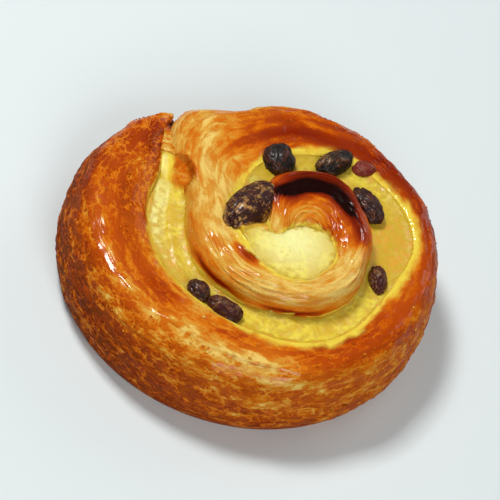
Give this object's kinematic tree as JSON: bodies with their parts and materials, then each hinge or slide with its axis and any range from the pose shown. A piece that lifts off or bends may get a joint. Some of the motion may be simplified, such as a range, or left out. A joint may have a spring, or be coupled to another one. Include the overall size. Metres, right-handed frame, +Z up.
{
  "type": "raisin brioche",
  "caption": "Round swirl of flaky brioche dough with a strip of baked custard between its laps, a custard pool in the middle and raisins half sunk in the custard.",
  "frame": {"origin": "middle of the base of the bounding box, on the surface that the roll rests on", "axes": "+Z up; +Y away from the side seen first in the picture, so a view from -Y and above shows the roll as the picture does; +X to the right of that view"},
  "size_m": [0.1, 0.0998, 0.0323],
  "materials": {
    "crust": "baked dough crust with a thin glossy glaze",
    "custard": "baked custard, glossy",
    "raisin": "wrinkled, slightly glossy"
  },
  "bodies": {
    "root": {"dough_swirl": "crust", "custard_filling": "custard", "raisin_1": "raisin", "raisin_2": "raisin", "raisin_3": "raisin", "raisin_4": "raisin", "raisin_5": "raisin", "raisin_6": "raisin", "raisin_7": "raisin", "raisin_8": "raisin"}
  },
  "joints": []
}
